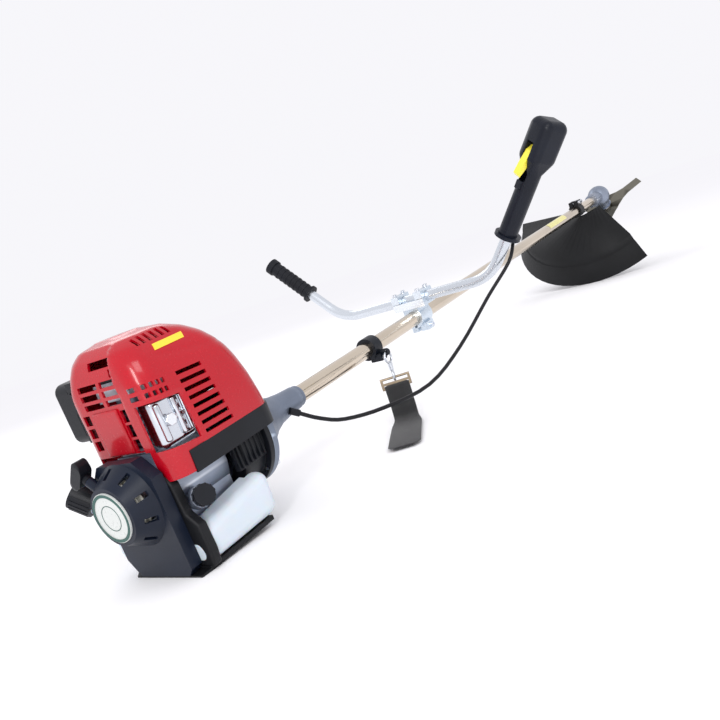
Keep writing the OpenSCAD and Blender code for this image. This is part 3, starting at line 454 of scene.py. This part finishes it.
def step(value, start, width):
    """0 before start, 1 after start + width, smooth between."""
    t = min(max((value - start) / width, 0), 1)
    return t * t * (3 - 2 * t)


# -------------------------------------------------------------------- hood

# Height, back, front, right, left and corner radius of the hood's sections
HOOD = [
    (14, -292, -128, -80, 74, 24),
    (40, -293, -127, -81, 75, 24),
    (80, -293, -132, -80, 77, 26),
    (108, -293, -140, -78, 78, 26),
    (130, -293, -150, -75, 76, 26),
    (150, -290, -164, -68, 70, 27),
    (164, -285, -179, -58, 62, 28),
    (174, -275, -197, -45, 50, 27),
    (179, -257, -218, -24, 28, 14),
]
HOOD_WALL = 3
HOOD_ROWS = 56
# Lower edge of the left side, and where the longer tail begins
HOOD_EDGE = 38
HOOD_TAIL = -268
# Opening of the back for the starter
STARTER_OPENING = ((-400, -46, -20), (-278, 60, 51))
# Side of the dome, where the back grille begins
DOME_Y = -36
# Opening round the clutch housing
FRONT_OPENING_R = 70
# Window over the muffler, as x and z
WINDOW = [(-302, 51), (-302, 60), (-299, 104), (-249, 99), (-247, 45), (-290, 49)]


def hood_shift(p):
    """How far a point of the plain hood moves.

    The main dome stands proud of the back grille, a ridge runs over the window and a
    groove runs along the right side.
    """
    back = 1 - step(p.x, -286, 26)
    grille = back * step(p.y, DOME_Y + 0.03 * (p.z - 100), 4)
    ridge = 1 - step(p.z, 102 - 0.09 * (p.x + 299), 5)
    side = ridge * (1 - step(p.y, -66, 10)) * (1 - step(p.x, -252, 12))
    off_groove = p.z - 137 + 0.16 * (p.x + 200)
    groove = math.exp(-(off_groove / 2.2) ** 2) * (1 - step(p.y, -30, 10))
    return Vector((5.5 * grille, 2.2 * side + 1.2 * groove * step(p.x, -262, 20), 0))


def hood_shell():
    """The hood before anything is cut out of it, with rows that get denser upwards."""
    rings = []
    for k in range(HOOD_ROWS + 1):
        z = HOOD[0][0] + (HOOD[-1][0] - HOOD[0][0]) * math.sin(math.pi / 2 * k / HOOD_ROWS)
        x0, x1, y0, y1, r = (smooth_row(HOOD, z, i) for i in range(1, 6))
        rings.append([p + hood_shift(p) for p in rounded_ring(x0, x1, y0, y1, r, z)])
    shell = loft("hood", rings, closed_start=False)
    modifier(shell, "SOLIDIFY", thickness=HOOD_WALL * MM, offset=-1)
    return apply_all(shell)


def slot_box(a, b, skew=0):
    """Eight corners of a slot; skew lifts its far end."""
    (x0, y0, z0), (x1, y1, z1) = a, b
    return [(x0, y0, z0), (x1, y0, z0 + skew), (x1, y1, z0 + skew), (x0, y1, z0),
            (x0, y0, z1), (x1, y0, z1 + skew), (x1, y1, z1 + skew), (x0, y1, z1)]


def back_grille():
    """Openings of the back: the crown's, three rows of two, two columns and a corner one."""
    back, deep = -310, -272
    spans = [(-30, 12, 153, 9)]
    spans += [(y0, y1, z, 7) for z in (132, 121, 110) for y0, y1 in ((5, 42), (-31, -1))]
    spans += [(41, 54, z, 12) for z in (93, 77, 61)]
    spans += [(-31, -18, z, 15) for z in (88, 70, 52)]
    spans += [(-33, -24, 141, 9)]
    return [slot_box((back, y0, z), (deep, y1, z + tall)) for y0, y1, z, tall in spans]


def side_louvers():
    """Two rows of small openings over the muffler and the slanted louvers ahead of it."""
    outer, deep = -95, -45
    cuts = [slot_box((-293 + 7 * k, outer, z - 0.5 * k), (-288.5 + 7 * k, deep, z + 5.5 - 0.5 * k))
            for z in (109, 119) for k in range(5)]
    for k in range(8):
        low = 117 - 10.3 * k
        cuts.append(slot_box((-243 + 0.5 * k, outer, low), (-205 + 1.4 * k, deep, low + 4.5),
                             -2 + 0.2 * k))
    return cuts


def shoulder_slots():
    """Row of slots over the right shoulder."""
    return [slot_box((-262 + 9 * k, -75, 162), (-257.5 + 9 * k, -48, 190)) for k in range(6)]


def hood():
    """Red hood with its openings, the panel behind the grille and the blank label."""
    shell = hood_shell()
    carve(shell, boxes("cut", [((HOOD_TAIL, -200, -50), (0, 200, HOOD_EDGE))]))
    carve(shell, boxes("cut", [STARTER_OPENING]))
    carve(shell, disc("cut", -175, 0, FRONT_OPENING_R, 64))
    carve(shell, prism_y("cut", WINDOW, -110, -52))
    carve(shell, boxes("cut", back_grille() + side_louvers() + shoulder_slots()))
    bevelled(shell, 0.7, 2, 50)
    finish_piece(shell, "hood_red", "machine", ["top_cover"], 32)
    panel = boxes("hood_panel", [((-290.5, -15, 52), (-286, 33, 106))])
    bevelled(panel, 2, 3)
    finish_piece(panel, "hood_red", "machine")
    hood_label()


def hood_label():
    """Blank strip that follows the right shoulder, half sunk in the hood."""
    low, tall, thick, parts = 151, 7, 1.2, 8
    rows = [low + tall * k / parts for k in range(parts + 1)]
    outer = [(smooth_row(HOOD, z, 3) - 0.7, z) for z in rows]
    strip = outer + [(y + thick, z) for y, z in reversed(outer)]
    label = loft("hood_label", [[Vector((x + 0.4 * (z - low), y, z)) for y, z in strip]
                                for x in range(-249, -204, 11)])
    finish_piece(label, "label_yellow", "machine")


# ------------------------------------------------------ round the engine


def cooling_duct():
    """Black duct with fins that leads the fan's air past the crankcase."""
    back, fins, pitch = -193, 8, 8
    starts = [back + pitch * k for k in range(fins)]
    duct = boxes("cooling_duct", [((-196, -57, -24), (-126, -48, 40))]
                 + [((x, -60.5, -22), (x + 2.5, -56, 38)) for x in starts])
    bevelled(duct, 0.8)
    finish_piece(duct, "black_plastic", "machine")


def stand_bracket():
    """Upright of the stand behind the starter's plate, around the tank's end."""
    outline = [(-50, 22), (-59, 10), (-61, -26), (-75, -40), (-76, -72), (-73, -90), (-50, -90)]
    bracket = loft("stand_bracket", [[Vector((x, y, z)) for y, z in outline]
                                     for x in (-295.5, -283)])
    bevelled(bracket, 2.5, 3)
    finish_piece(bracket, "stand_plastic", "machine")


def muffler():
    """Pressed bright muffler with ribs and the bolt that shows in the hood's window."""
    body = boxes("muffler_box", [((-284, -66, 46), (-234, -40, 106))])
    bevelled(body, 8, 5)
    finish_piece(body, "muffler_metal", "machine", ["muffler"])
    upright = [((x, -70, 54), (x + 7, -60, 99)) for x in (-281, -258, -246)]
    ribs = boxes("muffler_ribs", upright + [((-281, -69, 73), (-240, -60, 80))])
    bevelled(ribs, 3, 4)
    finish_piece(ribs, "muffler_metal", "machine")
    r, corners = 7.5, [math.pi * i / 3 for i in range(6)]
    bolt = loft("muffler_bolt", [[Vector((-270 + r * math.cos(a), y, 77 + r * math.sin(a)))
                                  for a in corners] for y in (-68, -75)])
    bevelled(bolt, 0.8)
    finish_piece(bolt, "screw_steel", "machine")


def badge():
    """The two plain dark green rings on the starter's white disc."""
    rim = tube_ring("badge_ring", -340.9, 25.6, 29.2, 0.6)
    finish_piece(rim, "badge_green", "machine")
    inner = tube_ring("badge_inner_ring", -340.3, 14.5, 15.5, 0.4)
    finish_piece(inner, "badge_green", "machine")


def tube_ring(name, x, r_in, r_out, thick):
    """Flat ring standing on the plane at x."""
    sides = 72
    front = x + thick
    section = [(x, r_in), (x, r_out), (front, r_out), (front, r_in), (x, r_in)]
    ring = loft(name, [circle(place, r, sides) for place, r in section], False, False)
    modifier(ring, "WELD", merge_threshold=0.01 * MM)
    apply_all(ring)
    return bevelled(ring, 0.3)


def starter_rope():
    """The rope's free end.

    It runs from start to end, in metres from the pulley's centre, as a twisted cord of
    strands.
    """
    pull = Vector(joints["starter_pull"]["axis"]).normalized()
    hub = at(-320, 0, 0)
    start, hold, grip, end = 0.046, 0.052, 0.0665, 0.068
    rows, sides, r = 24, 14, 0.00175
    strands, twist, relief = 4, 2.2, 0.06
    across = pull.cross(Vector((1, 0, 0))).normalized()
    third = pull.cross(across)
    data = bpy.data.meshes.new("starter_rope_fibre")
    obj = bpy.data.objects.new("starter_rope_fibre", data)
    scene.collection.objects.link(obj)
    verts = []
    for k in range(rows + 1):
        centre = hub + pull * (start + (end - start) * k / rows)
        for i in range(sides):
            a = 2 * math.pi * i / sides
            out = r * (1 + relief * math.sin(strands * a + twist * k))
            verts.append(centre + out * (math.cos(a) * across + math.sin(a) * third))
    faces = [(k * sides + i, k * sides + (i + 1) % sides, (k + 1) * sides + (i + 1) % sides,
              (k + 1) * sides + i) for k in range(rows) for i in range(sides)]
    faces += [tuple(range(sides)), tuple(rows * sides + i for i in range(sides))]
    data.from_pydata(verts, [], faces)
    data.materials.append(PAINT["rope_fibre"])
    data.polygons.foreach_set("use_smooth", [True] * len(data.polygons))
    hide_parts("starter_rope")
    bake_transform(obj)


# ------------------------------------------------------------ cable, strap

# Points that the cable passes, from the clutch housing's boot to the right grip
CABLE_ROUTE = [
    (-34, -25, -16), (-10, -35, -36), (22, -50, -54), (80, -80, -66), (160, -115, -68),
    (234, -145, -38), (320, -174, 11), (373, -203, 48.5), (392, -212, 74)]
CABLE_R = 3

# The hook hangs turned by this angle about the vertical
HOOK_TURN = -60
# Height of the webbing's loop over the buckle, in millimetres from the hook's pivot
STRAP_TOP = -59.2
STRAP_THICK = 3.2
STRAP_WIDTH = 41
TAIL_WIDTH = 50
TIP_WIDTH = 30
# Steps across one face of the webbing, and the weave's metres per step each way
WEB_STEPS = 12
WEAVE_ACROSS, WEAVE_ALONG = 0.0035, 0.004


def throttle_cable():
    """The throttle cable, from the clutch housing up to the right grip."""
    points = [MACHINE @ p for p in curve_points(CABLE_ROUTE, 4)]
    data = bpy.data.curves.new("throttle_cable_jacket", "CURVE")
    data.dimensions = "3D"
    data.bevel_depth = CABLE_R * MM
    data.bevel_resolution = 5
    line = data.splines.new("POLY")
    line.points.add(len(points) - 1)
    for spot, p in zip(line.points, points):
        spot.co = (*p, 1)
    obj = bpy.data.objects.new("throttle_cable_jacket", data)
    scene.collection.objects.link(obj)
    data.materials.append(PAINT["cable_jacket"])
    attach(obj, "machine")
    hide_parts("throttle_cable")


def strap_frame():
    """The hanging hook's turned frame, in millimetres from its eye, to row frame."""
    eye = Matrix.Translation(Vector(joints["hook_swing"]["pos_m"]))
    return eye @ Matrix.Rotation(math.radians(HOOK_TURN), 4, "Z") @ Matrix.Scale(MM, 4)


def ribbon(name, path, widths, thick, to_row):
    """Strap along path with its width along x; the UVs run in metres for the weave."""
    across = Vector((1, 0, 0))
    last = len(path) - 1
    around = 2 * (WEB_STEPS + 1)
    verts, faces = [], []
    for k, p in enumerate(path):
        ahead = (path[min(k + 1, last)] - path[max(k - 1, 0)]).normalized()
        out = ahead.cross(across).normalized()
        for side in (1, -1):
            for c in range(WEB_STEPS + 1):
                u = (2 * c / WEB_STEPS - 1) * side
                crown = (1 - u ** 6) * thick / 2
                verts.append(p + across * (u * widths[k] / 2) + out * (side * crown))
    for k in range(last):
        here, there = k * around, (k + 1) * around
        faces += [(here + c, here + (c + 1) % around, there + (c + 1) % around, there + c)
                  for c in range(around)]
    faces += [tuple(range(around)), tuple(last * around + c for c in range(around))]
    obj = mesh_object(name, verts, faces, to_row)
    uv = obj.data.uv_layers.new(name="weave")
    for loop in obj.data.loops:
        k, c = divmod(loop.vertex_index, around)
        uv.data[loop.index].uv = (WEAVE_ACROSS * (c % (WEB_STEPS + 1)), WEAVE_ALONG * k)
    return obj


def strap_path(floor):
    """Middle line of the webbing: loop, drop to the floor's height, and tail along it."""
    top = STRAP_TOP
    loop = [(3.2, top - 24), (3.6, top - 8), (3.4, top + 0.5), (0, top + 4.2),
            (-3.6, top + 0.3)]
    drop = [(-4.4, top - 14), (-3.4, top - 30), (-5, floor + 26), (-11, floor + 11)]
    tail = [(-27, floor + 5.4), (-60, floor + 4.9), (-110, floor + 5.2), (-150, floor + 4.8),
            (-174, floor + 4.4)]
    return curve_points([(0, y, z) for y, z in loop + drop + tail], 7)


def strap_width(share):
    """Width at a share of the length: the tail is padded and its tip narrows."""
    padded = (TAIL_WIDTH - STRAP_WIDTH) * step(share, 0.62, 0.12)
    return STRAP_WIDTH + padded - (TAIL_WIDTH - TIP_WIDTH) * step(share, 0.955, 0.06)


def harness():
    """Webbing: a loop round the buckle, a drop to the ground and a padded tail."""
    place = strap_frame()
    floor = -Vector(joints["hook_swing"]["pos_m"]).z / MM
    path = strap_path(floor)
    widths = [strap_width(k / (len(path) - 1)) for k in range(len(path))]
    strap = ribbon("harness_webbing", path, widths, STRAP_THICK, place)
    finish_piece(strap, "webbing", "harness", ["harness_strap"], 60)
    seam = boxes("harness_stitching", [
        ((x - 0.5, 4.6, STRAP_TOP - 22 + 3 * k), (x + 0.5, 5.6, STRAP_TOP - 20 + 3 * k))
        for x in (-17, 17) for k in range(5)])
    seam.data.transform(MACHINE.inverted())
    seam.data.transform(place)
    bevelled(seam, 0.3)
    finish_piece(seam, "rope_fibre", "harness")


# ------------------------------------------------------------ small labels


def tube_label():
    """Blank pale band stuck along the tube's right and upper side."""
    tube_r, back, length = 13, 1085, 130
    first_angle, spread = 100, 70
    rows, cols = 12, 10
    verts, faces = [], []
    for layer in (0.15, 0.55):
        r = tube_r + layer
        for i in range(cols + 1):
            a = math.radians(first_angle + spread * i / cols)
            verts += [Vector((back + length * j / rows, r * math.cos(a), r * math.sin(a)))
                      for j in range(rows + 1)]
    n = (rows + 1) * (cols + 1)
    for i in range(cols):
        for j in range(rows):
            a = i * (rows + 1) + j
            faces.append((a, a + 1, a + rows + 2, a + rows + 1))
            faces.append((n + a, n + a + rows + 1, n + a + rows + 2, n + a + 1))
    edge = (list(range(rows + 1)) + [i * (rows + 1) + rows for i in range(1, cols + 1)]
            + [cols * (rows + 1) + j for j in range(rows - 1, -1, -1)]
            + [i * (rows + 1) for i in range(cols - 1, 0, -1)])
    faces += [(a, b, n + b, n + a) for a, b in zip(edge, edge[1:] + edge[:1])]
    label = mesh_object("tube_label", verts, faces)
    finish_piece(label, "label_pale", "machine")


# --------------------------------------------------------- carried-over CAD

# Bevel width in millimetres for the CAD nodes that keep their own shape
BEVELS = {
    "grip_shell_rear": 2.0, "grip_shell_front": 2.0,
    "recoil_housing": 1.6, "engine_stand": 1.6,
    "crankcase": 1.5, "rocker_cover": 1.5, "bar_bracket": 1.5,
    "throttle_trigger": 1.4,
    "air_cleaner_cover": 1.2, "air_cleaner_case": 1.2, "bar_caps": 1.2, "gear_case": 1.2,
    "guard_bracket": 1.2, "hanger_clamp": 1.2, "throttle_lock": 1.2,
    "clutch_housing": 1.0, "fan_cover": 1.0, "fuel_tank": 1.0, "left_grip": 1.0,
    "lower_shroud": 1.0, "starter_handle": 1.0,
    "cable_boots": 0.8, "carburettor": 0.8, "stop_switch": 0.8,
    "choke_lever": 0.6, "fuel_cap": 0.6, "oil_filler_cap": 0.6, "strap_buckle": 0.6,
    "blade": 0.4, "blade_nut": 0.4, "centre_badge": 0.4,
    "clamp_screws": 0.3, "engine_cylinder": 0.3,
}


def dress_cad():
    """Every CAD node gets its slot's finish, welded corners and small bevels."""
    slots = {s["node"]: s["material_slot"] for s in frame["record"]["subparts"]}
    for name, obj in nodes.items():
        obj.data.materials.clear()
        obj.data.materials.append(PAINT[slots[name]])
        modifier(obj, "WELD", merge_threshold=0.002 * MM)
        if name in BEVELS:
            bevelled(obj, BEVELS[name], 3, 28)
        modifier(obj, "WEIGHTED_NORMAL", keep_sharp=False, weight=60)
        obj.data.polygons.foreach_set("use_smooth", [True] * len(obj.data.polygons))


# ------------------------------------------------------------------- stage


def soft_light(name, place, target, size, power):
    """Rectangular lamp at place that faces target."""
    data = bpy.data.lights.new(name, "AREA")
    data.shape = "RECTANGLE"
    data.size, data.size_y = size
    data.energy = power
    obj = bpy.data.objects.new(name, data)
    obj.location = place
    obj.rotation_euler = (Vector(target) - Vector(place)).to_track_quat("-Z", "Y").to_euler()
    scene.collection.objects.link(obj)


def stage():
    """Plain pale floor just under the object, a pale sky and three soft lights."""
    half, drop = 40, 0.0002
    floor = bpy.data.meshes.new("floor")
    corners = [(-half, -half, 0), (half, -half, 0), (half, half, 0), (-half, half, 0)]
    floor.from_pydata(corners, [], [(0, 1, 2, 3)])
    obj = bpy.data.objects.new("floor", floor)
    obj.location.z = min(0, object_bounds()[0].z) - drop
    scene.collection.objects.link(obj)
    floor.materials.append(surface("floor", (0.995, 0.99, 0.998), 1, blotch=0.4, vary=0.005,
                                   grain=40, depth=0, Specular_IOR_Level=0.0))
    obj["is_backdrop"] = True
    world = bpy.data.worlds.new("world")
    world.use_nodes = True
    sky = world.node_tree.nodes["Background"]
    sky.inputs["Color"].default_value = (0.97, 0.965, 1, 1)
    sky.inputs["Strength"].default_value = 0.96
    scene.world = world
    soft_light("key", (-1.2, -2.4, 2.6), (0.3, 0, 0.1), (1.6, 1.0), 24)
    soft_light("window", (-1.9, -1.2, 1.1), (0.05, 0, 0.15), (0.35, 1.3), 24)
    soft_light("rim", (1.6, 2.2, 2.2), (0.7, 0, 0.1), (2.0, 1.0), 12)
    scene.view_settings.view_transform = "Standard"


dress_cad()
throttle_cable()
harness()
hood()
cooling_duct()
stand_bracket()
muffler()
badge()
starter_rope()
tube_label()
stage()
